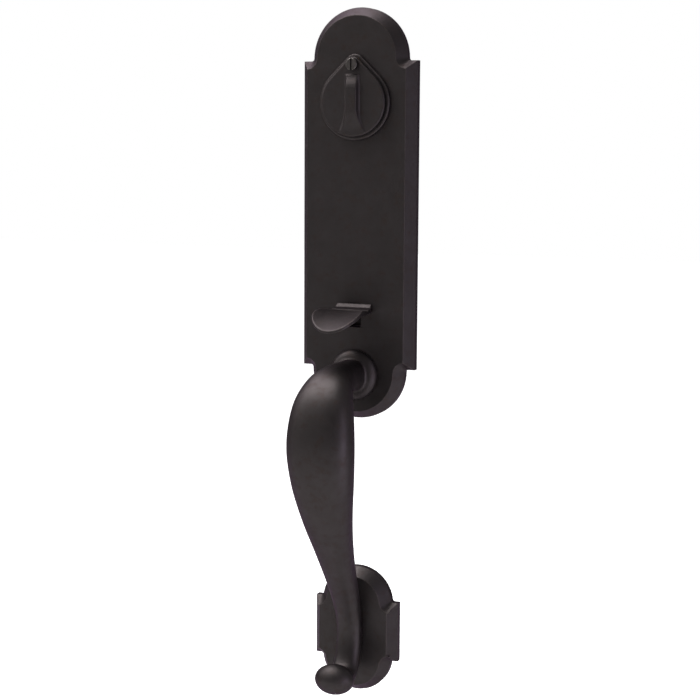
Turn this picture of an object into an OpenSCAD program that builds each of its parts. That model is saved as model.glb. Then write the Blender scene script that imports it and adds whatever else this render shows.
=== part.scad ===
// Entry door handleset, outside trim: a long plate with a keyed cylinder under a
// swinging cover, a thumb piece, a cast grip and a small lower plate.
// The origin lies on the door's face, at the centre of the latch bore.
// X runs to the right, the outside of the door faces -Y and Z is up.

/* [Long plate] */
// Width of the long plate
plate_w = 80; // [76:1:90]
// Height of the upper shoulders above the deadbolt centre
top_margin = 27.3; // [25:0.1:33]
// Distance from the latch centre down to the lower shoulders
low_margin = 36; // [34:0.5:42]
// Radius of the arches at the ends of the long plate
arch_r = 33; // [31:1:36]
// How far the centre of an arch lies beyond the shoulders
arch_rise = 1.5; // [0:0.5:3]

/* [Plate section] */
// Thickness of both plates from the door to the face
plate_t = 12.5; // [11.5:0.5:14]
// Height of the upright edge around both plates
edge_t = 4.4; // [3:0.2:5]
// Width of the bevel between the edge and the face
bevel_w = 5.4; // [4:0.2:6]
// Thickness of the cast face
face_t = 3.5; // [3:0.25:4]
// Thickness of the cast rim behind the bevel
wall_t = 3.4; // [3:0.2:4]
// Radius of the hollow where an arch meets a shoulder
cove_r = 1.8; // [1.5:0.1:4]

/* [Lower plate] */
// Width of the lower plate
low_w = 60; // [56:1:66]
// Height of the lower plate between its shoulders
low_h = 41; // [38:1:48]
// Radius of the arches of the lower plate
low_arch_r = 25; // [23.5:0.5:27]
// How far the centre of a lower arch lies beyond its shoulder
low_arch_rise = -2; // [-3:0.5:1]
// Distance from the latch centre down to the centre of the lower plate
low_drop = 217; // [212:1:225]

/* [Keyed cylinder] */
// Distance from the latch centre up to the deadbolt centre
bolt_z = 139.7; // [138:0.1:142]
// Diameter of the cylinder barrel
barrel_d = 29; // [27:0.5:30]
// Length of the barrel behind the plate's face
barrel_l = 37; // [32:1:42]
// Diameter of the flange that the collar traps
flange_d = 34; // [32:0.5:35]
// Thickness of that flange
flange_t = 1.6; // [1.2:0.1:1.8]
// Diameter of the plug that the key turns
plug_d = 12.7; // [12:0.1:13.5]
// Width of the keyway
keyway_w = 2; // [1.6:0.1:2.4]
// Length of the tailpiece behind the plug
tail_l = 38; // [30:1:50]

/* [Collar and cover] */
// Diameter of the collar at the plate's face
collar_d = 49; // [46:1:52]
// Thickness of the collar
collar_t = 2.8; // [2.6:0.1:3.4]
// Diameter of the round part of the keyhole cover
cover_d = 44.6; // [42:0.2:46]
// Thickness of the keyhole cover
cover_t = 2.2; // [2:0.1:3]
// Height of the cover's pivot above the deadbolt centre
pivot_rise = 24.5; // [23.5:0.5:28]
// Thickness of the washer behind the cover
washer_t = 0.7; // [0.5:0.1:1]
// Diameter of the pivot screw's head
screw_head_d = 8; // [6.5:0.1:8.5]
// Width of the ridge that the fingers push
ridge_w = 6.5; // [5:0.5:8]
// Height of the ridge above the cover's face
ridge_h = 3.6; // [3:0.2:5]

/* [Thumb piece] */
// Width of the thumb piece at the plate
root_w = 24.6; // [22:0.2:26]
// Diameter of the round end of the thumb piece
pad_d = 33; // [30:1:36]
// Distance of the round end's centre from the plate's face
pad_reach = 30.5; // [28:0.5:33]
// Radius of the dish across the thumb piece
dish_r = 20.5; // [19:0.5:24]
// Radius of the dish along the thumb piece, down to its lip
dish_run = 66; // [56:1:84]
// Thickness of the dished wall
pad_t = 2; // [1.6:0.1:2.6]
// Thickness of the lever that passes through the slot
lever_t = 7; // [6:0.2:7.4]
// Length of the lever's tail behind the pivot
lever_l = 41; // [36:1:48]
// Diameter of the pivot pin
pin_d = 4; // [3.5:0.1:4.6]
// Distance of the pivot below the latch centre
pivot_drop = 4; // [3:0.25:5]
// Thickness of the bracket's sheet steel
sheet_t = 1.5; // [1.2:0.1:1.8]

/* [Grip] */
// Distance of the grip's neck below the lower shoulders
neck_below = 4; // [3:0.5:6]
// Distance of the middle of the grip from the plates' faces at its fullest
grip_reach = 57.5; // [52:0.5:62]
// Width of the grip at its fullest
grip_w = 45; // [40:1:50]
// Depth of the grip at its fullest
grip_depth = 27; // [23:1:30]
// Diameter of the round flange against the long plate
grip_flange_d = 34; // [32:1:38]
// Diameter of the bulb at the grip's lower end
bulb_d = 20.4; // [18:0.2:22]
// Width of that bulb
bulb_w = 27.4; // [24:0.2:30]
// Roundness of the grip's section, where 2 is an oval
grip_power = 2.5; // [2:0.1:3]

/* [Fasteners] */
// Distance between the posts beside the cylinder
cylinder_post_gap = 43; // [41:0.5:46]
// Distance between the posts beside the latch
latch_post_gap = 38.1; // [36:0.1:41]
// Diameter of the mounting posts
post_d = 8; // [7.5:0.25:9]
// Length of the mounting posts behind the plate's boss
post_l = 25; // [20:1:30]
// Diameter of the thread in the upper mounting posts
post_thread_d = 5; // [4:0.5:5.5]
// Diameter of the spigots that screw into the long plate's bosses
spigot_d = 4; // [3:0.5:4.5]
// Diameter of the thread in the lower mounting post
low_thread_d = 6; // [5:0.5:6.5]
// Diameter of the bolt and the spigot that hold the grip
grip_bolt_d = 8; // [7:0.5:8.5]

/* [Hidden] */
$fn = 64;

// Clearances
fit = 0.05;
gap = 0.3;
eps = 0.01;

// Colours
bronze = [0.20, 0.19, 0.18];
brass = [0.72, 0.60, 0.36];
steel = [0.62, 0.63, 0.65];
spring_steel = [0.42, 0.43, 0.45];

// Levels, as distances out from the door's face
face_back = plate_t - face_t;
flange_top = plate_t + flange_t;
collar_top = plate_t + collar_t;
washer_top = collar_top + washer_t;
cover_back = washer_top + gap;
cover_top = cover_back + cover_t;
head_seat = cover_top + gap;

// Turns a shape drawn as (right, up, out) into the door's frame
module on_door() {
    rotate([90, 0, 0]) children();
}

// Draws a profile given as (out, up) and gives it a width along X
module across(width) {
    translate([-width / 2, 0, 0]) rotate([90, 0, 90]) linear_extrude(width) mirror([1, 0]) children();
}

// A straight round hole or rod from one level to another, at a place on the door
module rod(r, low, high, x = 0, z = 0) {
    on_door() translate([x, z, low]) cylinder(r = r, h = high - low);
}

// One straight or round part of a bevelled plate, upright to the edge and then sloped
module bevelled_bar(half_w, low, high, edge, top, bevel) {
    across_profile = [[-half_w, 0], [half_w, 0], [half_w, edge], [half_w - bevel, top],
        [bevel - half_w, top], [-half_w, edge]];
    along_profile = [[low, 0], [high, 0], [high, edge], [high - bevel, top], [low + bevel, top],
        [low, edge]];
    intersection() {
        translate([0, high, 0]) rotate([90, 0, 0]) linear_extrude(high - low) polygon(across_profile);
        translate([half_w, 0, 0]) rotate([0, -90, 0]) linear_extrude(2 * half_w)
            polygon([for (p = along_profile) [p[1], p[0]]]);
    }
}

module bevelled_disc(r, edge, top, bevel) {
    rotate_extrude($fn = 96) polygon([[0, 0], [r, 0], [r, edge], [r - bevel, top], [0, top]]);
}

// The cast form that both plates share, with its back on the door
module plate_form(half_w, low, high, r, rise, edge, top, bevel) {
    bevelled_bar(half_w, low, high, edge, top, bevel);
    for (y = [high + rise, low - rise]) translate([0, y, 0]) bevelled_disc(r, edge, top, bevel);
}

// Fills the corner between an arch and a shoulder with a hollow radius, for the
// upper right corner of a plate whose shoulder line is at y = 0
module cove(r, rise, edge, top, bevel) {
    cx = sqrt(pow(r + cove_r, 2) - pow(cove_r - rise, 2));
    out_dir = [-cx, rise - cove_r] / (r + cove_r);
    far = cove_r + bevel;
    inner_x = sqrt(pow(r - bevel, 2) - pow(bevel + rise, 2));
    difference() {
        linear_extrude(top) polygon([[cx, cove_r], [cx, cove_r - far], [inner_x, -bevel],
            [cx + out_dir[0] * far, cove_r + out_dir[1] * far]]);
        translate([cx, cove_r, -1]) cylinder(r = cove_r, h = edge + 1 + eps);
        translate([cx, cove_r, edge]) cylinder(r1 = cove_r, r2 = far, h = top - edge);
    }
}

module plate_coves(low, high, r, rise) {
    inset = 0.02;
    for (side = [0, 1]) mirror([side, 0, 0]) {
        translate([0, high - inset, 0]) cove(r, rise, edge_t, plate_t, bevel_w);
        translate([0, low + inset, 0]) mirror([0, 1, 0]) cove(r, rise, edge_t, plate_t, bevel_w);
    }
}

// A plate with its cast hollow, open to the door
module hollow_plate(half_w, low, high, r, rise) {
    difference() {
        union() {
            plate_form(half_w, low, high, r, rise, edge_t, plate_t, bevel_w);
            plate_coves(low, high, r, rise);
        }
        translate([0, 0, -1]) plate_form(half_w - wall_t, low + wall_t, high - wall_t, r - wall_t,
            rise + wall_t, edge_t, face_back + 1, bevel_w);
    }
}

// The escutcheon
shoulder_z = bolt_z + top_margin;
upper_low = -low_margin;
neck_drop = low_margin + neck_below;
hole_r = barrel_d / 2 + gap;
boss_depth = 3;
boss_r = post_d / 2 + 1.5;
boss_level = face_back - boss_depth;
spigot_r = spigot_d / 2;
spigot_l = 5;

// Collar bosses that pass through the face, seen from the deadbolt centre
collar_boss_r = 3;
collar_boss_at = 19.6;
collar_boss_angles = [225, 315];
collar_boss_l = face_t - 0.4;
collar_screw_r = 1.75;
collar_screw_l = 5;

function around(angle, radius) = [radius * cos(angle), radius * sin(angle)];

// The slot for the lever
slot_w = 9.4;
slot_low = -8.2;
slot_high = 8;

// Bracket screws
bracket_x = 9.5;
bracket_z = 12.5;
bracket_screw_r = 1.5;
bracket_boss_r = 3.2;
bracket_boss_depth = 2.5;
bracket_level = face_back - bracket_boss_depth;

pivot_z = bolt_z + pivot_rise;
pivot_thread_r = 2;
pivot_thread_l = 5.3;

module upper_escutcheon() {
    color(bronze) difference() {
        union() {
            on_door() hollow_plate(plate_w / 2, upper_low, shoulder_z, arch_r, arch_rise);
            for (x = [-1, 1]) {
                rod(boss_r, boss_level, face_back + eps, x * cylinder_post_gap / 2, bolt_z);
                rod(boss_r, boss_level, face_back + eps, x * latch_post_gap / 2, 0);
                for (z = [-1, 1])
                    rod(bracket_boss_r, bracket_level, face_back + eps, x * bracket_x, z * bracket_z);
            }
        }
        rod(hole_r, 0, plate_t + 1, 0, bolt_z);
        for (a = collar_boss_angles) let (p = around(a, collar_boss_at))
            rod(collar_boss_r + gap, face_back - 1, plate_t + 1, p[0], bolt_z + p[1]);
        rod(pivot_thread_r + fit, collar_top - pivot_thread_l - 0.5, plate_t + 1, 0, pivot_z);
        on_door() translate([-slot_w / 2, slot_low, 0]) cube([slot_w, slot_high - slot_low, plate_t + 1]);
        rod(grip_bolt_d / 2 + gap, 0, plate_t + 1, 0, -neck_drop);
        for (x = [-1, 1]) {
            rod(spigot_r + fit, boss_level - 1, boss_level + spigot_l + 0.2, x * cylinder_post_gap / 2, bolt_z);
            rod(spigot_r + fit, boss_level - 1, boss_level + spigot_l + 0.2, x * latch_post_gap / 2, 0);
            for (z = [-1, 1]) rod(bracket_screw_r + fit, bracket_level - 1, bracket_level + bracket_screw_in,
                x * bracket_x, z * bracket_z);
        }
    }
}

// Round-edged disc and the drop shape that two of them make
module soft_disc(r, low, high, round) {
    steps = 3;
    rotate_extrude($fn = 64) polygon(concat([[0, low], [r, low]],
        [for (i = [0 : steps]) let (a = 90 * i / steps)
            [r - round + round * cos(a), high - round + round * sin(a)]], [[0, high]]));
}

module drop(r, tip_r, low, high, round) {
    on_door() hull() {
        translate([0, bolt_z, 0]) soft_disc(r, low, high, round);
        translate([0, pivot_z, 0]) soft_disc(tip_r, low, high, round);
    }
}

collar_tip_r = 7;
cover_tip_r = 5;
collar_round = 1.2;
cover_round = 0.9;
front_r = flange_d / 2 - 3;

module cylinder_collar() {
    color(bronze) difference() {
        union() {
            drop(collar_d / 2, collar_tip_r, plate_t, collar_top, collar_round);
            for (a = collar_boss_angles) let (p = around(a, collar_boss_at))
                rod(collar_boss_r, plate_t - collar_boss_l, plate_t + eps, p[0], bolt_z + p[1]);
        }
        rod(flange_d / 2 + 0.1, plate_t - 1, flange_top + 0.1, 0, bolt_z);
        rod(front_r + 0.1, plate_t - 1, collar_top + 1, 0, bolt_z);
        for (a = collar_boss_angles) let (p = around(a, collar_boss_at))
            rod(collar_screw_r + fit, plate_t - collar_boss_l - 1, collar_screw_tip + 0.3, p[0], bolt_z + p[1]);
        rod(pivot_thread_r + fit, plate_t - 1, collar_top + 1, 0, pivot_z);
    }
}

collar_screw_head_r = 3.9;
collar_screw_head_t = 1.8;
collar_screw_tip = face_back + collar_screw_l;

// Pan-head screw with its head's seat at a level and its shank towards the outside
module back_screw(shank_r, head_r, head_t, seat, tip, x, z) {
    difference() {
        union() {
            rod(shank_r, seat - eps, tip, x, z);
            rod(head_r, seat - head_t, seat, x, z);
        }
        on_door() translate([x - head_r, z - 0.5, seat - head_t - 1]) cube([2 * head_r, 1, 1.8]);
        on_door() translate([x - 0.5, z - head_r, seat - head_t - 1]) cube([1, 2 * head_r, 1.8]);
    }
}

module collar_screws() {
    color(steel) for (a = collar_boss_angles) let (p = around(a, collar_boss_at))
        back_screw(collar_screw_r, collar_screw_head_r, collar_screw_head_t, face_back, collar_screw_tip,
            p[0], bolt_z + p[1]);
}

// Keyhole cover with a cast ridge whose sides run out in hollow curves, and which
// spreads like a trumpet towards the cover's lower edge
shoulder_r = 2.5;
ridge_top = pivot_z - screw_head_d / 2 - 4;
ridge_low = bolt_z - cover_d / 2 + 0.6;
ridge_side = 1.8;
ridge_spread = 4.6;
ridge_rows = 24;
ridge_fillet = 4;

function eased(t) = let (u = min(max(t, 0), 1)) u * u * (3 - 2 * u);
function ridge_half(t) = ridge_w / 2 + 0.6 * pow(max(0, 1 - t / 0.1), 2)
    + ridge_spread * pow(max(0, (t - 0.5) / 0.5), 2.2);
function ridge_height(t) = ridge_h * (0.25 + 0.75 * eased(t / 0.22)) * (1 - 0.92 * eased((t - 0.5) / 0.5));
// Height above the cover's face at a share of the way down the hollow side
function ridge_slope(side) = pow(1 - side, 2);

module ridge() {
    n = 2 * (ridge_fillet + 1) + 2;
    low = cover_back + 0.5;
    points = [for (i = [0 : ridge_rows]) let (t = i / ridge_rows, z = ridge_top + (ridge_low - ridge_top) * t,
        half = ridge_half(t), base = half + ridge_side, h = ridge_height(t))
            each concat([[-base, -low, z]],
                [for (k = [0 : ridge_fillet]) let (s = k / ridge_fillet)
                    [-base + ridge_side * s, -(cover_top - 0.1 + h * ridge_slope(1 - s)), z]],
                [for (k = [0 : ridge_fillet]) let (s = k / ridge_fillet)
                    [half + ridge_side * s, -(cover_top - 0.1 + h * ridge_slope(s)), z]],
                [[base, -low, z]])];
    sides = [for (i = [0 : ridge_rows - 1]) for (j = [0 : n - 1]) let (k = (j + 1) % n)
        each [[i * n + j, i * n + k, (i + 1) * n + k], [i * n + j, (i + 1) * n + k, (i + 1) * n + j]]];
    caps = [[for (j = [n - 1 : -1 : 0]) j], [for (j = [0 : n - 1]) ridge_rows * n + j]];
    intersection() {
        polyhedron(points, concat(sides, caps), convexity = 6);
        rod(cover_d / 2 - 0.5, 0, 2 * cover_top, 0, bolt_z);
    }
}

module keyhole_cover() {
    color(bronze) difference() {
        union() {
            drop(cover_d / 2, cover_tip_r, cover_back, cover_top, cover_round);
            ridge();
        }
        rod(shoulder_r + fit, cover_back - 1, cover_top + ridge_h + 1, 0, pivot_z);
    }
}

module cover_washer() {
    color(brass) difference() {
        rod(cover_tip_r - 0.2, collar_top, washer_top, 0, pivot_z);
        rod(shoulder_r + 0.1, collar_top - 1, washer_top + 1, 0, pivot_z);
    }
}

screw_head_t = 2.8;
slot_cut_w = 1;
slot_cut_depth = 1.6;

module cover_pivot_screw() {
    color(bronze) difference() {
        union() {
            rod(pivot_thread_r, collar_top - pivot_thread_l, collar_top + eps, 0, pivot_z);
            rod(shoulder_r, collar_top, head_seat + eps, 0, pivot_z);
            on_door() translate([0, pivot_z, 0]) soft_disc(screw_head_d / 2, head_seat, head_seat + screw_head_t, 0.7);
        }
        on_door() translate([-slot_cut_w / 2, pivot_z - screw_head_d, head_seat + screw_head_t - slot_cut_depth])
            cube([slot_cut_w, 2 * screw_head_d, screw_head_t]);
    }
}

// Keyed cylinder
barrel_back = plate_t - barrel_l;
plug_r = plug_d / 2;
plug_head_r = plug_r + 0.8;
plug_top = collar_top + 0.1;
plug_back = barrel_back - gap;

module cylinder_body() {
    color(brass) difference() {
        union() {
            rod(barrel_d / 2, barrel_back, plate_t + eps, 0, bolt_z);
            rod(flange_d / 2, plate_t, flange_top, 0, bolt_z);
            rod(front_r, flange_top - eps, collar_top - 0.1, 0, bolt_z);
        }
        rod(plug_r + fit, barrel_back - 1, collar_top + 1, 0, bolt_z);
        rod(plug_head_r + fit, flange_top - gap, collar_top + 1, 0, bolt_z);
    }
}

keyway_low = -4.9;
keyway_high = 3.2;
keyway_ward = 0.7;
tail_head_r = 3.4;
tail_head_t = 1.5;
retainer_screw_r = 0.9;
retainer_screw_x = 4.9;
retainer_screw_l = 5;

module keyway_outline() {
    translate([-keyway_w / 2, keyway_low]) square([keyway_w, keyway_high - keyway_low]);
    translate([-keyway_w / 2 - keyway_ward, keyway_low + 1.4]) square([keyway_w, 1.4]);
    translate([-keyway_w / 2 + keyway_ward, keyway_low + 4]) square([keyway_w, 1.2]);
}

module cylinder_plug() {
    color(brass) difference() {
        union() {
            rod(plug_r, plug_back, plug_top - 0.5, 0, bolt_z);
            rod(plug_head_r, flange_top, plug_top, 0, bolt_z);
        }
        on_door() translate([0, bolt_z, plug_back + 7]) linear_extrude(plug_top - plug_back)
            keyway_outline();
        rod(tail_head_r + 0.1, plug_back - 1, plug_back + tail_head_t + 0.1, 0, bolt_z);
        for (x = [-1, 1]) rod(retainer_screw_r + fit, plug_back - 1, plug_back + retainer_screw_l,
            x * retainer_screw_x, bolt_z);
    }
}

retainer_r = plug_r + 2;
retainer_t = 2;
retainer_back = plug_back - retainer_t;

module plug_retainer() {
    color(brass) difference() {
        rod(retainer_r, retainer_back, plug_back, 0, bolt_z);
        rod(tail_head_r - 0.4, retainer_back - 1, plug_back + 1, 0, bolt_z);
        for (x = [-1, 1]) rod(retainer_screw_r + fit, retainer_back - 1, plug_back + 1,
            x * retainer_screw_x, bolt_z);
    }
}

module tailpiece() {
    bar_w = 5.2;
    bar_t = 2;
    color(steel) {
        rod(tail_head_r, plug_back, plug_back + tail_head_t, 0, bolt_z);
        on_door() translate([-bar_w / 2, bolt_z - bar_t / 2, plug_back - tail_l])
            cube([bar_w, bar_t, tail_l + eps]);
    }
}

module retainer_screws() {
    color(steel) for (x = [-1, 1])
        back_screw(retainer_screw_r, 1.7, 1.2, retainer_back, plug_back + retainer_screw_l - 0.4,
            x * retainer_screw_x, bolt_z);
}

// Thumb piece: a flat root, a dished pad that falls towards its round lip, and a lever
// through the slot
root_back = plate_t + 0.4;
root_front = root_back + 8.2;
root_top = 7.4;
root_drop = 2.2;
root_low = 1.8;
pad_out = plate_t + pad_reach;
dish_out = pad_out + 14;
dish_low = -4.9;
rim_step = 1;
rim_top = 6;
pad_below = pad_t - dish_low + 1;
pad_above = root_top + 1;
lever_top = 5;
pivot_level = -1;
lever_half_h = 4;
pin_r = pin_d / 2;

module paddle_outline() {
    hull() {
        translate([0, pad_out]) circle(r = pad_d / 2);
        translate([-root_w / 2, root_back]) square([root_w, 4]);
    }
}

// Hollow of the dish, rounder across the pad than along it
module dish(grow) {
    on_door() translate([0, dish_low + dish_run, dish_out]) rotate([0, 90, 0]) rotate_extrude($fn = 144)
        translate([dish_run - dish_r, 0]) circle(r = dish_r + grow, $fn = 72);
}

// Side view of the blank, whose rim rises from a step in front of the root
module pad_profile() {
    front = pad_out + pad_d;
    polygon([[root_back, root_top], [root_front, root_top - root_drop],
        [root_front, root_top - root_drop - rim_step], [pad_out - 5, rim_top], [front, rim_top],
        [front, -pad_below], [root_back, -pad_below]]);
}

module lever_profile() {
    polygon([[root_front, lever_top], [face_back - 2, lever_top], [pivot_level - 5, -pivot_drop + lever_half_h],
        [pivot_level - lever_l, -pivot_drop + lever_half_h - 2],
        [pivot_level - lever_l, -pivot_drop - lever_half_h + 2],
        [pivot_level - 5, -pivot_drop - lever_half_h], [bracket_level + 0.5, -pivot_drop - lever_half_h],
        [face_back, -pivot_drop], [root_front - 4, root_low]]);
}

module thumb_piece() {
    color(bronze) difference() {
        union() {
            difference() {
                intersection() {
                    translate([0, 0, -pad_below]) linear_extrude(pad_above + pad_below) mirror([0, 1]) paddle_outline();
                    across(root_w + pad_d) pad_profile();
                    union() {
                        dish(pad_t);
                        translate([-pad_d, eps - pad_out, root_low]) cube([2 * pad_d, pad_out, pad_above]);
                    }
                }
                dish(0);
            }
            across(lever_t) lever_profile();
        }
        translate([-lever_t, -pivot_level, -pivot_drop]) rotate([0, 90, 0]) cylinder(r = pin_r + fit, h = 2 * lever_t);
    }
}

// Bracket behind the plate that carries the pivot pin and the return spring
cheek_in = lever_t / 2 + 0.4;
cheek_out = cheek_in + sheet_t;
clip_t = 0.8;
clip_at = cheek_out + 0.2;
pin_end = clip_at + clip_t + 1;
bracket_back = bracket_level - sheet_t;
shelf_z = bracket_z + 2.5;
shelf_end = -20;
spring_level = -14;
spring_r = 2.6;
wire_r = 0.45;
spring_low = -pivot_drop + lever_half_h + gap;
bracket_screw_in = 5;
window_high = lever_top + 0.6;
window_low = pivot_drop + lever_half_h + 2.6;
bracket_screw_head_t = 1.6;

module thumb_pivot_pin() {
    color(steel) difference() {
        translate([-pin_end, -pivot_level, -pivot_drop]) rotate([0, 90, 0]) cylinder(r = pin_r, h = 2 * pin_end);
        for (side = [0, 1]) mirror([side, 0, 0])
            translate([clip_at - fit, -pivot_level, -pivot_drop]) rotate([0, 90, 0]) difference() {
                cylinder(r = pin_r + 1, h = clip_t + 2 * fit);
                translate([0, 0, -1]) cylinder(r = pin_r - 0.5, h = clip_t + 2);
            }
    }
}

module pin_clips() {
    color(spring_steel) for (side = [0, 1]) mirror([side, 0, 0])
        translate([clip_at, -pivot_level, -pivot_drop]) rotate([0, 90, 0]) difference() {
            cylinder(r = pin_r + 1.8, h = clip_t);
            translate([0, 0, -1]) cylinder(r = pin_r - 0.45, h = clip_t + 2);
            translate([0, -(pin_r - 0.45), -1]) cube([pin_r + 3, 2 * pin_r - 0.9, clip_t + 2]);
        }
}

module cheek_profile() {
    difference() {
        hull() {
            translate([bracket_back - 1, -pivot_drop - 5.5]) square([1 + eps, 11]);
            translate([pivot_level, -pivot_drop]) circle(r = pin_r + 2.4);
        }
        translate([pivot_level, -pivot_drop]) circle(r = pin_r + fit);
    }
}

module thumb_bracket() {
    half_w = bracket_x + 3.5;
    half_h = shelf_z + sheet_t;
    color(steel) {
        difference() {
            on_door() translate([-half_w, -bracket_z - 3.5, bracket_back])
                cube([2 * half_w, half_h + bracket_z + 3.5, sheet_t]);
            on_door() translate([-cheek_in, -window_low, bracket_back - 1])
                cube([2 * cheek_in, window_low + window_high, sheet_t + 2]);
            for (x = [-1, 1]) for (z = [-1, 1]) rod(bracket_screw_r + 0.1, bracket_back - 1, bracket_level + 1,
                x * bracket_x, z * bracket_z);
        }
        for (x = [-1, 1]) translate([x * (cheek_in + cheek_out) / 2, 0, 0]) across(sheet_t) cheek_profile();
        on_door() translate([-5.5, shelf_z, shelf_end]) cube([11, sheet_t, bracket_back - shelf_end + eps]);
        translate([0, -spring_level, shelf_z - 1.5]) cylinder(r = spring_r - wire_r - 0.3, h = 1.5 + eps);
    }
}

module bracket_screws() {
    color(steel) for (x = [-1, 1]) for (z = [-1, 1])
        back_screw(bracket_screw_r, 2.8, bracket_screw_head_t, bracket_back,
            bracket_level + bracket_screw_in - 0.4, x * bracket_x, z * bracket_z);
}

// Compression spring with close turns at its ends, standing on the lever
module thumb_return_spring() {
    turns = 7;
    per_turn = 16;
    around_wire = 6;
    count = turns * per_turn;
    height = shelf_z - spring_low - 2 * wire_r;
    function rise(t) = let (u = t * turns) u < 1 ? u * 2.2 * wire_r
        : u > turns - 1 ? height - (turns - u) * 2.2 * wire_r
        : 2.2 * wire_r + (u - 1) / (turns - 2) * (height - 4.4 * wire_r);
    points = [for (i = [0 : count]) for (j = [0 : around_wire - 1])
        let (a = 360 * i / per_turn, b = 360 * j / around_wire, r = spring_r + wire_r * cos(b))
            [r * cos(a), r * sin(a), rise(i / count) + wire_r * sin(b)]];
    sides = [for (i = [0 : count - 1]) for (j = [0 : around_wire - 1])
        let (k = (j + 1) % around_wire, n = around_wire)
            [i * n + j, i * n + k, (i + 1) * n + k, (i + 1) * n + j]];
    caps = [[for (j = [around_wire - 1 : -1 : 0]) j], [for (j = [0 : around_wire - 1]) count * around_wire + j]];
    color(spring_steel) translate([0, -spring_level, spring_low + wire_r])
        polyhedron(points, concat(sides, caps), convexity = 10);
}

// Grip: one casting, swept through stations from its neck to its curled end.
// Each station gives, as shares of the four sizes, how far the middle stands out
// from the plates, how far it lies below the neck, and the half width and half depth.
grip_drop = low_drop - neck_drop;
stations = [
    [0.06, 0.000, 0.46, 0.78], [0.28, -0.003, 0.44, 0.75], [0.52, 0.003, 0.53, 0.82],
    [0.76, 0.030, 0.73, 0.92], [0.935, 0.098, 0.91, 0.99], [1.00, 0.220, 1.00, 1.00],
    [0.94, 0.355, 0.93, 0.96], [0.80, 0.490, 0.76, 0.88], [0.60, 0.620, 0.585, 0.77],
    [0.39, 0.745, 0.465, 0.65], [0.20, 0.862, 0.405, 0.54], [0.105, 0.965, 0.38, 0.45],
    [0.13, 1.070, 0.38, 0.44], [0.25, 1.135, 0.40, 0.44], [0.46, 1.150, 0.42, 0.45]];
bulb_share = [0.555, 1.137];
blend_steps = 4;
ring_points = 40;

function grip_out(share) = plate_t + grip_reach * share;
function grip_z(share) = -neck_drop - grip_drop * share;
function station(i) = let (s = stations[min(max(i, 0), len(stations) - 1)])
    [grip_out(s[0]), grip_z(s[1]), s[2] * grip_w / 2, s[3] * grip_depth / 2];
// Smooth curve through four neighbouring stations
function between(a, b, c, d, t) =
    0.5 * (2 * b + (c - a) * t + (2 * a - 5 * b + 4 * c - d) * t * t + (3 * b - a - 3 * c + d) * t * t * t);
function along(u) = let (i = min(floor(u), len(stations) - 2), t = u - i)
    between(station(i - 1), station(i), station(i + 1), station(i + 2), t);
function heading(u) = let (a = along(max(u - 0.05, 0)), b = along(min(u + 0.05, len(stations) - 1)),
    d = [b[0] - a[0], b[1] - a[1]]) d / norm(d);
function bulge(v) = sign(v) * pow(abs(v), 2 / grip_power);
function ring_point(u, angle) = let (s = along(u), h = heading(u), side = bulge(cos(angle)) * s[2],
    front = bulge(sin(angle)) * s[3])
    [side, -(s[0] - h[1] * front), s[1] + h[0] * front];

module grip_sweep() {
    rings = (len(stations) - 1) * blend_steps;
    n = ring_points;
    points = [for (i = [0 : rings]) for (j = [0 : n - 1]) ring_point(i / blend_steps, 360 * j / n)];
    sides = [for (i = [0 : rings - 1]) for (j = [0 : n - 1]) let (k = (j + 1) % n)
        each [[i * n + j, (i + 1) * n + k, i * n + k], [i * n + j, (i + 1) * n + j, (i + 1) * n + k]]];
    caps = [[for (j = [0 : n - 1]) j], [for (j = [n - 1 : -1 : 0]) rings * n + j]];
    polyhedron(points, concat(sides, caps), convexity = 6);
}

// Flange with a broad round rim and a hollow flare into the neck
module grip_flange() {
    r = grip_flange_d / 2;
    rim = 3.4;
    rim_level = 4.6;
    neck_r = 0.44 * grip_w / 2;
    flare_h = 8.2;
    steps = 8;
    on_door() translate([0, -neck_drop, plate_t]) rotate_extrude($fn = 72) polygon(concat(
        [[0, 0], [r, 0], [r, rim_level - rim]],
        [for (i = [1 : steps]) let (a = 90 * i / steps) [r - rim + rim * cos(a), rim_level - rim + rim * sin(a)]],
        [for (i = [1 : steps]) let (a = 90 * i / steps)
            [r - rim - (r - rim - neck_r) * sin(a), rim_level + (flare_h - rim_level) * (1 - cos(a))]],
        [[0, flare_h]]));
}

// Bulb at the end of the curl, turned about the grip's width
module grip_bulb() {
    steps = 16;
    translate([0, -grip_out(bulb_share[0]), grip_z(bulb_share[1])]) rotate([0, 90, 0])
        rotate_extrude($fn = 48) polygon([for (i = [0 : steps]) let (a = 180 * i / steps - 90)
            [bulb_d / 2 * cos(a), bulb_w / 2 * sin(a)]]);
}

foot_r = 8;
foot_depth = 5;
upper_thread_l = 18;
lower_thread_l = 8;

module grip() {
    color(bronze) difference() {
        union() {
            grip_sweep();
            grip_flange();
            grip_bulb();
            rod(foot_r, plate_t, plate_t + foot_depth, 0, -low_drop);
        }
        rod(grip_bolt_d / 2 + fit, plate_t - 1, plate_t + upper_thread_l, 0, -neck_drop);
        rod(grip_bolt_d / 2 + fit, plate_t - 1, plate_t + lower_thread_l, 0, -low_drop);
    }
}

bolt_washer_t = 1.6;
bolt_washer_r = grip_bolt_d / 2 + 4;
bolt_head_t = 4.8;
bolt_head_r = grip_bolt_d / 2 + 3.2;

module grip_upper_bolt() {
    seat = face_back - bolt_washer_t;
    color(steel) {
        rod(grip_bolt_d / 2, seat - eps, plate_t + upper_thread_l - 1, 0, -neck_drop);
        on_door() translate([0, -neck_drop, seat - bolt_head_t]) cylinder(r = bolt_head_r, h = bolt_head_t, $fn = 6);
    }
}

module grip_upper_washer() {
    color(steel) difference() {
        rod(bolt_washer_r, face_back - bolt_washer_t, face_back, 0, -neck_drop);
        rod(grip_bolt_d / 2 + 0.2, face_back - bolt_washer_t - 1, face_back + 1, 0, -neck_drop);
    }
}

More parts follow.
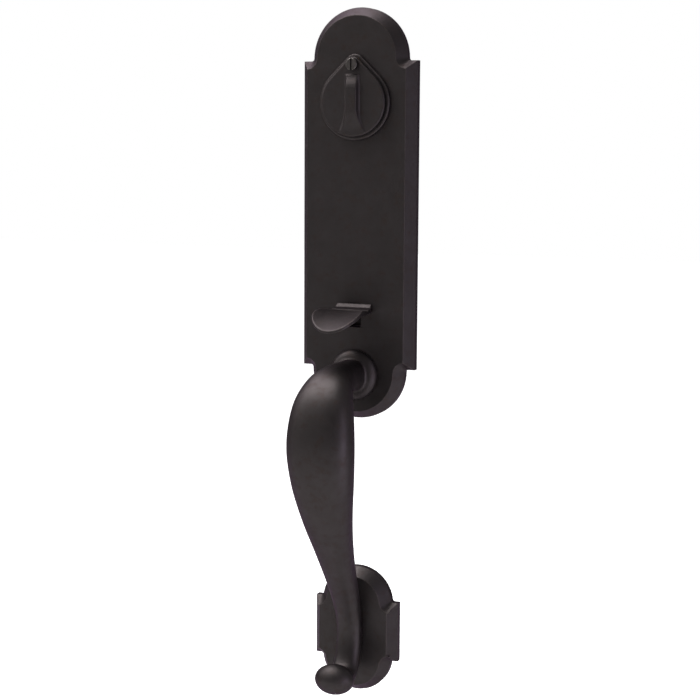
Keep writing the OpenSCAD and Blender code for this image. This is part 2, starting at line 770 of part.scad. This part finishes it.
module lower_plate() {
    color(bronze) difference() {
        on_door() hollow_plate(low_w / 2, -low_drop - low_h / 2, -low_drop + low_h / 2, low_arch_r, low_arch_rise);
        rod(grip_bolt_d / 2 + gap, 0, plate_t + 1, 0, -low_drop);
    }
}

// Turned post that clamps the lower plate to the grip's foot
low_flange_r = grip_bolt_d / 2 + 5;
low_flange_t = 2.5;
low_post_r = low_thread_d / 2 + 2.5;
thread_end = -1;

module lower_post() {
    color(steel) difference() {
        union() {
            rod(grip_bolt_d / 2, face_back - eps, plate_t + lower_thread_l - 0.5, 0, -low_drop);
            rod(low_flange_r, face_back - low_flange_t, face_back, 0, -low_drop);
            rod(low_post_r, face_back - post_l, face_back - low_flange_t + eps, 0, -low_drop);
        }
        rod(low_thread_d / 2, face_back - post_l - 1, thread_end, 0, -low_drop);
    }
}

// Turned post with a threaded spigot in the plate's boss and a thread for the inside bolt
module mounting_post(x, z) {
    difference() {
        union() {
            rod(post_d / 2, boss_level - post_l, boss_level, x, z);
            rod(spigot_r, boss_level - eps, boss_level + spigot_l, x, z);
        }
        rod(post_thread_d / 2, boss_level - post_l - 1, thread_end, x, z);
    }
}

module cylinder_posts() {
    color(steel) for (x = [-1, 1]) mounting_post(x * cylinder_post_gap / 2, bolt_z);
}

module latch_posts() {
    color(steel) for (x = [-1, 1]) mounting_post(x * latch_post_gap / 2, 0);
}

upper_escutcheon();
cylinder_collar();
collar_screws();
keyhole_cover();
cover_washer();
cover_pivot_screw();
cylinder_body();
cylinder_plug();
plug_retainer();
tailpiece();
retainer_screws();
thumb_piece();
thumb_pivot_pin();
pin_clips();
thumb_bracket();
bracket_screws();
thumb_return_spring();
grip();
grip_upper_bolt();
grip_upper_washer();
lower_plate();
lower_post();
cylinder_posts();
latch_posts();
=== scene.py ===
"""Entry door handleset: cast bronze trim with a keyed cylinder, a swinging keyhole cover,
a thumb piece and a cast grip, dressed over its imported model. Outside faces -Y, Z is up."""

import math

import bmesh
import bpy
from mathutils import Matrix, Vector


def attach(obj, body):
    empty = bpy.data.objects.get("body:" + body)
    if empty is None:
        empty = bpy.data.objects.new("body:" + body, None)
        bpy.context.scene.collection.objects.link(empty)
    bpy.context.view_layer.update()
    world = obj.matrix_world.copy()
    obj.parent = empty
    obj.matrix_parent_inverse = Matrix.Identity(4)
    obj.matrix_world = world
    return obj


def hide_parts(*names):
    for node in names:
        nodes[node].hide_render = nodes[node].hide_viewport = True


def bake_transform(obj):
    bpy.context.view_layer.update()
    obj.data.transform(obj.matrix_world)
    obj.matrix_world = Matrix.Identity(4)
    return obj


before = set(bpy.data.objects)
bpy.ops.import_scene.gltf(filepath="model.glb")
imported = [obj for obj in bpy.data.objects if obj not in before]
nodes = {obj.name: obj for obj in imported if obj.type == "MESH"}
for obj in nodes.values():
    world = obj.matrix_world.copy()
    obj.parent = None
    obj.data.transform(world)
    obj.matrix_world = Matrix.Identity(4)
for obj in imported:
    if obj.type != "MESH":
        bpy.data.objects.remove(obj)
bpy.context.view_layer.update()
scene = bpy.context.scene
MM = 0.001


# ---------------------------------------------------------------- long plate
# A cast bronze plate with arched ends and a wide bevel, poured in sand, linished on
# its face and darkened in a hot bath. It lies against the door on its cast rim.

def linear(code):
    """An sRGB hex colour as the linear colour that a shader takes."""
    parts = [int(code[i:i + 2], 16) / 255 for i in (1, 3, 5)]
    curve = [c / 12.92 if c <= 0.04045 else ((c + 0.055) / 1.055) ** 2.4 for c in parts]
    return curve + [1.0]


def add_node(tree, kind, settings=None, links=None):
    """Adds one node, sets its properties and sockets, and links its inputs."""
    made = tree.nodes.new(kind)
    for key, value in (settings or {}).items():
        if isinstance(key, int) or key in made.inputs:
            made.inputs[key].default_value = value
        else:
            setattr(made, key, value)
    for key, source in (links or {}).items():
        tree.links.new(source, made.inputs[key])
    return made


def surface(name):
    """An empty material with its Principled shader and the piece's own coordinates."""
    made = bpy.data.materials.new(name)
    made.use_nodes = True
    tree = made.node_tree
    place = add_node(tree, "ShaderNodeTexCoord").outputs["Object"]
    return made, tree, tree.nodes["Principled BSDF"], place


def noise(tree, place, size_mm, detail, roughness=0.5):
    """Noise whose lumps are about as wide as the given size."""
    return add_node(tree, "ShaderNodeTexNoise",
                    {"Scale": 1000 / size_mm, "Detail": detail, "Roughness": roughness},
                    {"Vector": place})


def cast_bronze(name):
    """Sand-cast bronze under a dark oil-rubbed patina: satin, softly uneven from the
    sand, nearly black with a warm cast, and a little paler where hands rub its edges."""
    wave_mm, cloud_mm, sand_mm = 14, 5, 0.9
    wear = 0.55
    made, tree, shader, place = surface(name)
    broad = noise(tree, place, wave_mm, 2.0)
    cloud = noise(tree, place, cloud_mm, 4.0, 0.6)
    sand = noise(tree, place, sand_mm, 3.0, 0.65)
    patina = add_node(tree, "ShaderNodeMix",
                      {"data_type": "RGBA", 6: linear("#373332"), 7: linear("#403c3c")},
                      {0: broad.outputs["Fac"]})
    specks = add_node(tree, "ShaderNodeMapRange", {1: 0.52, 2: 0.75, 3: 0.0, 4: 0.5},
                      {0: cloud.outputs["Fac"]})
    brown = add_node(tree, "ShaderNodeMix", {"data_type": "RGBA", 7: linear("#3a302b")},
                     {0: specks.outputs[0], 6: patina.outputs[2]})
    rounded = add_node(tree, "ShaderNodeBevel", {"samples": 4, "Radius": 0.7 * MM})
    true_face = add_node(tree, "ShaderNodeNewGeometry")
    align = add_node(tree, "ShaderNodeVectorMath", {"operation": "DOT_PRODUCT"},
                     {0: rounded.outputs[0], 1: true_face.outputs["Normal"]})
    edge = add_node(tree, "ShaderNodeMapRange", {1: 0.995, 2: 0.93, 3: 0.0, 4: wear},
                    {0: align.outputs["Value"]})
    rubbed = add_node(tree, "ShaderNodeMath", {"operation": "MULTIPLY"},
                      {0: edge.outputs[0], 1: cloud.outputs["Fac"]})
    colour = add_node(tree, "ShaderNodeMix", {"data_type": "RGBA", 7: linear("#6f6762")},
                      {0: rubbed.outputs[0], 6: brown.outputs[2]})
    tree.links.new(colour.outputs[2], shader.inputs["Base Color"])
    satin = add_node(tree, "ShaderNodeMapRange", {1: 0.3, 2: 0.7, 3: 0.44, 4: 0.54},
                     {0: cloud.outputs["Fac"]})
    tree.links.new(satin.outputs[0], shader.inputs["Roughness"])
    shader.inputs["Metallic"].default_value = 0.9
    # The patina dims the metal's glance at a low angle, with a faint purple cast.
    shader.inputs["Specular Tint"].default_value = linear("#bcadbf")
    swell = add_node(tree, "ShaderNodeBump", {"Strength": 0.35, "Distance": 0.5 * MM},
                     {"Height": broad.outputs["Fac"], "Normal": rounded.outputs[0]})
    grain = add_node(tree, "ShaderNodeBump", {"Strength": 0.22, "Distance": 0.08 * MM},
                     {"Height": sand.outputs["Fac"], "Normal": swell.outputs[0]})
    tree.links.new(grain.outputs[0], shader.inputs["Normal"])
    return made


def finish_with(material, *names):
    """Gives CAD nodes one material in every slot of theirs."""
    for name in names:
        for slot in nodes[name].material_slots:
            slot.material = material


bronze = cast_bronze("sand_cast_bronze_dark_patina")
finish_with(bronze, "upper_escutcheon")


# ---------------------------------------------------- collar, cover and screw
# The collar is cast with the drop shape of the cover that swings in front of it on a
# turned shoulder screw. Both are patinated like the plate, and the washer is brass.

def turned_metal(name, hexes, rough):
    """Turned or drawn metal: two close colours, and fine tool marks in its gloss."""
    stain_mm, mark_mm = 6, 0.25
    made, tree, shader, place = surface(name)
    stain = noise(tree, place, stain_mm, 3.0)
    marks = noise(tree, place, mark_mm, 2.0)
    colour = add_node(tree, "ShaderNodeMix",
                      {"data_type": "RGBA", 6: linear(hexes[0]), 7: linear(hexes[1])},
                      {0: stain.outputs["Fac"]})
    tree.links.new(colour.outputs[2], shader.inputs["Base Color"])
    gloss = add_node(tree, "ShaderNodeMapRange", {1: 0.3, 2: 0.7, 3: rough - 0.05, 4: rough + 0.08},
                     {0: stain.outputs["Fac"]})
    tree.links.new(gloss.outputs[0], shader.inputs["Roughness"])
    shader.inputs["Metallic"].default_value = 1.0
    broken_edge = add_node(tree, "ShaderNodeBevel", {"samples": 4, "Radius": 0.25 * MM})
    relief = add_node(tree, "ShaderNodeBump", {"Strength": 0.12, "Distance": 0.03 * MM},
                      {"Height": marks.outputs["Fac"], "Normal": broken_edge.outputs[0]})
    tree.links.new(relief.outputs[0], shader.inputs["Normal"])
    return made


def plain_mesh(piece):
    """Applies a piece's modifiers to its mesh."""
    graph = bpy.context.evaluated_depsgraph_get()
    mesh = bpy.data.meshes.new_from_object(piece.evaluated_get(graph))
    piece.modifiers.clear()
    piece.data = mesh
    for f in mesh.polygons:
        f.use_smooth = True
    return piece


def fettle(piece, voxel_mm, passes):
    """Melts overlapping forms into one skin, and softens the hollows where they meet."""
    skin = piece.modifiers.new("skin", "REMESH")
    skin.mode = "VOXEL"
    skin.voxel_size = voxel_mm * MM
    soft = piece.modifiers.new("soft", "SMOOTH")
    soft.factor = 0.5
    soft.iterations = passes
    return plain_mesh(piece)


def soft_casting(node, name, body, voxel_mm, passes, shape=None):
    """A CAD node's casting with its edges run soft, as sand and tumbling leave them.
    A shape, where one is given, moves the points of the fine mesh first."""
    mesh = nodes[node].data.copy()
    bm = bmesh.new()
    bm.from_mesh(mesh)
    bmesh.ops.remove_doubles(bm, verts=bm.verts, dist=1e-6)
    bm.to_mesh(mesh)
    bm.free()
    mesh.materials.clear()
    mesh.materials.append(bronze)
    made = bpy.data.objects.new(name, mesh)
    scene.collection.objects.link(made)
    if shape:
        fettle(made, voxel_mm, 0)
        for v in made.data.vertices:
            v.co = shape(v.co / MM) * MM
    fettle(made, voxel_mm, passes)
    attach(made, body)
    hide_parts(node)


def eased(value, low, high):
    """0 below low, 1 above high, and a smooth step between them."""
    t = min(max((value - low) / (high - low), 0), 1)
    return t * t * (3 - 2 * t)


def spread_ridge(co):
    """Carries the ridge up to the screw's head and lets its foot run out wider, by
    moving the cover's front skin along itself. The rim and the back stay."""
    cover_z, rim_in, rim_out = 139.7, 20, 22
    skin_back, skin_front = 17.2, 18
    ridge_side, flat_side = 6, 17
    lift, lift_low, lift_full, lift_end, lift_fade = 1.8, 138, 152, 160, 5
    widening, flare, flare_top, flare_h = 0.1, 0.2, 134, 14
    inside = 1 - eased(math.hypot(co.x, co.z - cover_z), rim_in, rim_out)
    front = eased(-co.y, skin_back, skin_front)
    near = (1 - eased(abs(co.x), ridge_side, flat_side)) * front * inside
    co.x *= 1 + (widening + flare * eased(flare_top - co.z, 0, flare_h)) * near
    below_screw = max(0, min(1, (lift_end - co.z) / lift_fade))
    co.z += lift * near * min(eased(co.z, lift_low, lift_full), below_screw)
    return co


soft_casting("keyhole_cover", "keyhole_cover_casting", "cover", 0.28, 4, spread_ridge)
finish_with(bronze, "cylinder_collar")
# Steel blackened in a hot bath: dark grey with a soft gleam round its slot.
dark_steel = turned_metal("blackened_turned_steel", ("#4e4a48", "#5a5553"), 0.42)
finish_with(dark_steel, "cover_pivot_screw")
# Turned brass: yellow, dulled a little by handling, with fine tool marks.
brass = turned_metal("turned_brass", ("#b8995a", "#a88a50"), 0.27)
finish_with(brass, "cover_washer")


# ------------------------------------------------------------- keyed cylinder
# Turned and broached brass, with its plug, retainer and tailpiece at the back. The
# barrel hides in the door, and only its front edge and the plug lie under the cover.

finish_with(brass, "cylinder_body", "cylinder_plug", "plug_retainer")
# Zinc plated steel: pale grey and satin, as bought screws and posts are.
zinc = turned_metal("zinc_plated_steel", ("#b9bcc0", "#a9acb2"), 0.32)
finish_with(zinc, "tailpiece", "retainer_screws", "collar_screws")


# ---------------------------------------------------------------- thumb piece
# Cast bronze pad, dished for the thumb, on a lever that tips on a steel pin. A sheet
# steel bracket behind the plate holds the pin, its two clips and the return spring.

def hollow(x, radius):
    """How far a round hollow of that radius rises at x from its lowest line."""
    return radius - math.sqrt(max(radius ** 2 - x ** 2, 0))


def roll_to_lip(co):
    """Lets the pad roll down to its lip with a shallow hollow across it, as a thumb
    rest does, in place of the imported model's plain dish. Its plan outline stays. The
    root falls steeply from the plate, and a heel under the lever fills the slot's
    lower end."""
    out = -co.y
    plate_front, root_back, root_front, lip = 12, 12.9, 22.0, 59.5
    heel_front, heel_top = 3.5, -5
    if out > root_front:
        rim_low, rim_rise, rim_from, rim_run = 4.2, 1.8, 20, 17
        rim = rim_low + rim_rise * min((out - rim_from) / rim_run, 1)
        dish_top, dish_run, dish_out, dish_r = 61.1, 66, 57, 20.5
        dish = dish_top - math.sqrt((dish_run - hollow(co.x, dish_r)) ** 2 - (dish_out - out) ** 2)
        fall, fall_power, hollow_r, blend_run = 10.0, 1.9, 36, 6
        share = min((out - root_front) / (lip - root_front), 1.05)
        roll = rim_low - fall * share ** fall_power + hollow(co.x, hollow_r)
        change = min(roll, rim) - min(dish, rim)
        co.z += change * eased(out, root_front, root_front + blend_run)
    elif out > plate_front:
        root_top, root_drop, root_run = 7.4, 2.2, 8.2
        crest, crest_drop, crest_run = 8.1, 2.8, 2.6
        step_top, step_drop, step_run = 5.3, 1.1, 6.5
        run = out - root_back
        packed = root_top - root_drop * run / root_run
        steep = crest - crest_drop * run / crest_run
        gentle = step_top - step_drop * (run - crest_run) / step_run
        co.z += (max(steep, gentle) - packed) * eased(co.z, 2.5, 4.5)
    elif out < heel_front and co.z < heel_top:
        heel_depth = 2.2
        co.z -= heel_depth * eased(out, -16, -12)
    return co


soft_casting("thumb_piece", "thumb_piece_casting", "thumb", 0.32, 10, roll_to_lip)
# Sheet and pin blackened in oil, and painted nearly black as the shade inside the slot, so that the
# slot stays dark.
blackened_with_slot_shade = turned_metal("blackened_steel_and_slot_shade", ("#2a2b2d", "#212224"), 0.45)
finish_with(blackened_with_slot_shade, "thumb_pivot_pin", "thumb_bracket", "bracket_screws")
# Drawn spring wire, grey under a film of oil.
spring_wire = turned_metal("oiled_spring_steel", ("#6b6d72", "#585a60"), 0.30)
finish_with(spring_wire, "pin_clips")


# -------------------------------------------------------------- return spring
# Coiled from oiled spring steel wire. Its head stays under the bracket's shelf.

coil = bpy.data.objects.new("return_spring_coil", nodes["thumb_return_spring"].data.copy())
scene.collection.objects.link(coil)
coil.data.materials.clear()
coil.data.materials.append(spring_wire)
coil.data.polygons.foreach_set("use_smooth", [True] * len(coil.data.polygons))
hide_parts("thumb_return_spring")
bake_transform(coil)


# ----------------------------------------------------------------------- grip
# One sand casting: flange, neck, full middle, slim foot and bulb. Its seams are fettled
# so its forms run into each other softly, and bolts from behind hold both ends.

face = 12.5
neck_z = -40.0
grip_drop = 177.0
grip_reach = 57.5
half_w = 22.5
half_d = 13.5
# Each station: reach, drop, half width and half depth, as shares of the sizes above.
stations = [
    [0.06, 0.000, 0.46, 0.78], [0.28, -0.003, 0.44, 0.75], [0.52, 0.003, 0.53, 0.82],
    [0.76, 0.030, 0.73, 0.92], [0.935, 0.098, 0.91, 0.99], [1.00, 0.220, 1.00, 1.00],
    [0.94, 0.355, 0.93, 0.96], [0.80, 0.490, 0.76, 0.88], [0.60, 0.620, 0.585, 0.77],
    [0.39, 0.745, 0.465, 0.65], [0.20, 0.862, 0.405, 0.54], [0.105, 0.965, 0.38, 0.45],
    [0.13, 1.070, 0.38, 0.44], [0.25, 1.135, 0.40, 0.44], [0.46, 1.150, 0.42, 0.45]]
real = [(face + grip_reach * s[0], neck_z - grip_drop * s[1], s[2] * half_w, s[3] * half_d)
        for s in stations]


def along(path, u):
    """The path's values at u, on a smooth curve through its four nearest stations."""
    i = min(int(u), len(path) - 2)
    t = u - i
    a, b, c, d = (path[min(max(k, 0), len(path) - 1)] for k in (i - 1, i, i + 1, i + 2))
    return [0.5 * (2 * q + (r - p) * t + (2 * p - 5 * q + 4 * r - s) * t * t
                   + (3 * q - p - 3 * r + s) * t ** 3) for p, q, r, s in zip(a, b, c, d)]


def place_point(x, out, z):
    """A point so far across, out from the door and up, in millimetres."""
    return Vector((x, -out, z)) * MM


def turned_form(bm, profile, at, axis, steps=96):
    """Turns a closed profile of (radius, height) about an axis through a point."""
    turn = Vector((0, 0, 1)).rotation_difference(axis).to_matrix()
    rows = []
    for radius, height in profile:
        if radius < 1e-6:
            rows.append([bm.verts.new(at + turn @ Vector((0, 0, height)) * MM)])
        else:
            angles = [2 * math.pi * i / steps for i in range(steps)]
            rows.append([bm.verts.new(at + turn @ Vector(
                (radius * math.cos(a), radius * math.sin(a), height)) * MM) for a in angles])
    for low, high in zip(rows, rows[1:]):
        for i in range(steps):
            k = (i + 1) % steps
            corners = [low[i % len(low)], low[k % len(low)],
                       high[k % len(high)], high[i % len(high)]]
            bm.faces.new(list(dict.fromkeys(corners)))


def into_object(bm, name, material):
    """A bmesh as an object at the origin, smooth, with its normals outwards."""
    bmesh.ops.remove_doubles(bm, verts=bm.verts, dist=1e-7)
    bmesh.ops.recalc_face_normals(bm, faces=bm.faces)
    for f in bm.faces:
        f.smooth = True
    mesh = bpy.data.meshes.new(name)
    bm.to_mesh(mesh)
    bm.free()
    mesh.materials.append(material)
    made = bpy.data.objects.new(name, mesh)
    scene.collection.objects.link(made)
    return made


bm = bmesh.new()
per_ring, per_station = 96, 10
squareness = 2.5
rows = []
for r in range((len(real) - 1) * per_station + 1):
    u = r / per_station
    out, z, wide, deep = along(real, u)
    before, after = along(real, max(u - 0.05, 0)), along(real, min(u + 0.05, len(real) - 1))
    heading = Vector((after[0] - before[0], after[1] - before[1])).normalized()
    row = []
    for j in range(per_ring):
        a = 2 * math.pi * j / per_ring
        side, front = (math.copysign(abs(v) ** (2 / squareness), v)
                       for v in (math.cos(a), math.sin(a)))
        row.append(bm.verts.new(place_point(side * wide, out - heading[1] * front * deep,
                                            z + heading[0] * front * deep)))
    rows.append(row)
for low, high in zip(rows, rows[1:]):
    for j in range(per_ring):
        k = (j + 1) % per_ring
        bm.faces.new([low[j], low[k], high[k], high[j]])
bm.faces.new(rows[0])
bm.faces.new(rows[-1])

outwards = Vector((0, -1, 0))
flange_r, flange_h, flange_edge, rim_w = 17.0, 5.8, 0.4, 6.4
quarter = [math.pi / 2 * i / 16 for i in range(17)]
turned_form(bm, [(0, 0), (flange_r, 0)]
            + [(flange_r - rim_w * (1 - math.cos(a)),
                flange_edge + (flange_h - flange_edge) * math.sin(a)) for a in quarter]
            + [(0, flange_h)], place_point(0, face, neck_z), outwards)
foot_r, foot_h = 8, 5
turned_form(bm, [(0, 0), (foot_r, 0), (foot_r, foot_h), (0, foot_h)],
            place_point(0, face, neck_z - grip_drop), outwards)
bulb_r, bulb_half_w = 10.2, 13.7
bulb_reach, bulb_drop = 0.555, 1.137
turned_form(bm, [(bulb_r * math.cos(t), bulb_half_w * math.sin(t))
                 for t in (math.pi * i / 32 - math.pi / 2 for i in range(33))],
            place_point(0, face + grip_reach * bulb_reach, neck_z - grip_drop * bulb_drop),
            Vector((1, 0, 0)))
grip = fettle(into_object(bm, "grip_casting", bronze), 0.8, 5)
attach(grip, "trim")
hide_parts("grip")
finish_with(zinc, "grip_upper_bolt", "grip_upper_washer")


# ---------------------------------------------------------------- lower plate
# A smaller casting of the same pattern as the long plate, clamped between the door and
# the grip's foot by a turned steel post from behind.

finish_with(bronze, "lower_plate")
finish_with(zinc, "lower_post")


# ------------------------------------------------------------- mounting posts
# Turned steel posts, screwed into bosses behind the plate. Bolts from the inside of the
# door pull on their threads.

finish_with(zinc, "cylinder_posts", "latch_posts")


# ------------------------------------------------------------ studio and view
# A pale floor well under the hanging trim and a surround that the camera sees as white.
# Large softboxes stand above and to the left, and two weak, cool ones on the right.

floor_z = -0.42
floor_mesh = bpy.data.meshes.new("studio_floor")
bm = bmesh.new()
bmesh.ops.create_grid(bm, x_segments=1, y_segments=1, size=6)
bmesh.ops.translate(bm, verts=bm.verts, vec=(0, 0, floor_z))
bm.to_mesh(floor_mesh)
bm.free()
floor = bpy.data.objects.new("studio_floor", floor_mesh)
scene.collection.objects.link(floor)
# Matt white paper, which keeps the trim's shadow and glows to the camera.
pale, tree, shader, place = surface("matt_white_paper")
tree.nodes.remove(shader)
ray = add_node(tree, "ShaderNodeLightPath")
glossy_share = 0.12
seen = add_node(tree, "ShaderNodeMath",
                {"operation": "MULTIPLY_ADD", 1: glossy_share, "use_clamp": True},
                {0: ray.outputs["Is Glossy Ray"], 2: ray.outputs["Is Camera Ray"]})
paper = add_node(tree, "ShaderNodeBsdfDiffuse", {"Color": linear("#e8e8e8")})
glow = add_node(tree, "ShaderNodeEmission", {"Color": (1, 1, 1, 1)}, {"Strength": seen.outputs[0]})
both = add_node(tree, "ShaderNodeAddShader", {}, {0: paper.outputs[0], 1: glow.outputs[0]})
tree.links.new(both.outputs[0], tree.nodes["Material Output"].inputs["Surface"])
floor_mesh.materials.append(pale)

world = bpy.data.worlds.new("white_studio")
world.use_nodes = True
tree = world.node_tree
tree.nodes.clear()
ray = add_node(tree, "ShaderNodeLightPath")
way = add_node(tree, "ShaderNodeTexCoord").outputs["Generated"]
# The room's walls and ceiling, by direction, each with the light that it gives back.
lobes = (((0, 1, 0), 0.4), ((0, -1, 0), 0.2), ((-1, 0, 0), 0.15), ((1, 0, 0), 0.35),
         ((0, 0, 1), 0.15))
level = None
for side, strength in lobes:
    facing = add_node(tree, "ShaderNodeVectorMath", {"operation": "DOT_PRODUCT", 1: side},
                      {0: way})
    ahead = add_node(tree, "ShaderNodeMath", {"operation": "MAXIMUM", 1: 0.0},
                     {0: facing.outputs["Value"]})
    square = add_node(tree, "ShaderNodeMath", {"operation": "POWER", 1: 2.0},
                      {0: ahead.outputs[0]})
    level = add_node(tree, "ShaderNodeMath", {"operation": "MULTIPLY_ADD", 1: strength, 2: 0.0},
                     {0: square.outputs[0], **({2: level.outputs[0]} if level else {})})
seen = add_node(tree, "ShaderNodeMix", {"data_type": "FLOAT", 3: 1.0},
                {0: ray.outputs["Is Camera Ray"], 2: level.outputs[0]})
white = add_node(tree, "ShaderNodeBackground", {"Color": (1, 1, 1, 1)},
                 {"Strength": seen.outputs[0]})
add_node(tree, "ShaderNodeOutputWorld", {}, {"Surface": white.outputs[0]})
scene.world = world


def soft_lamp(name, at, size, watts, tint="#ffffff"):
    """A square softbox that faces the middle of the trim."""
    middle = Vector((0, 0, -0.03))
    lamp = bpy.data.lights.new(name, "AREA")
    lamp.size = size
    lamp.energy = watts
    lamp.color = linear(tint)[:3]
    made = bpy.data.objects.new(name, lamp)
    made.location = at
    made.rotation_euler = (middle - Vector(at)).to_track_quat("-Z", "Y").to_euler()
    made.visible_camera = False
    scene.collection.objects.link(made)


soft_lamp("ceiling_softbox", (-0.45, -0.02, 1.2), 1.2, 31)
soft_lamp("upper_left_softbox", (-1.2, -0.25, 0.8), 1.2, 6)
soft_lamp("front_softbox", (-1.2, -1.0, 0.9), 1.6, 7)
soft_lamp("side_softbox", (1.3, -0.5, 0.1), 0.8, 3.5, "#ece2ff")
soft_lamp("low_right_softbox", (0.55, -0.35, -0.25), 0.4, 0.8, "#ece2ff")

# The camera stands where the outlines of both plates say that the photo's camera stood.
lens_px = 1619.05
frame_px = 700
sensor_mm = 36
turn, tilt_up, roll = (math.radians(d) for d in (21.85207, 7.55291, 0.33672))
back = Vector((math.sin(turn) * math.cos(tilt_up), -math.cos(turn) * math.cos(tilt_up),
               math.sin(tilt_up)))
right = Vector((math.cos(turn), math.sin(turn), 0))
up = back.cross(right)
local_x = right * math.cos(roll) + up * math.sin(roll)
local_y = up * math.cos(roll) - right * math.sin(roll)
view = Matrix((local_x, local_y, back)).transposed().to_4x4()
view.translation = Vector((0.396149, -1.007902, 0.118485))
eye = bpy.data.cameras.new("photo_view")
eye.sensor_width = sensor_mm
eye.lens = sensor_mm * lens_px / frame_px
camera = bpy.data.objects.new("photo_view", eye)
camera.matrix_world = view
scene.collection.objects.link(camera)
scene.camera = camera
scene.view_settings.view_transform = "Standard"
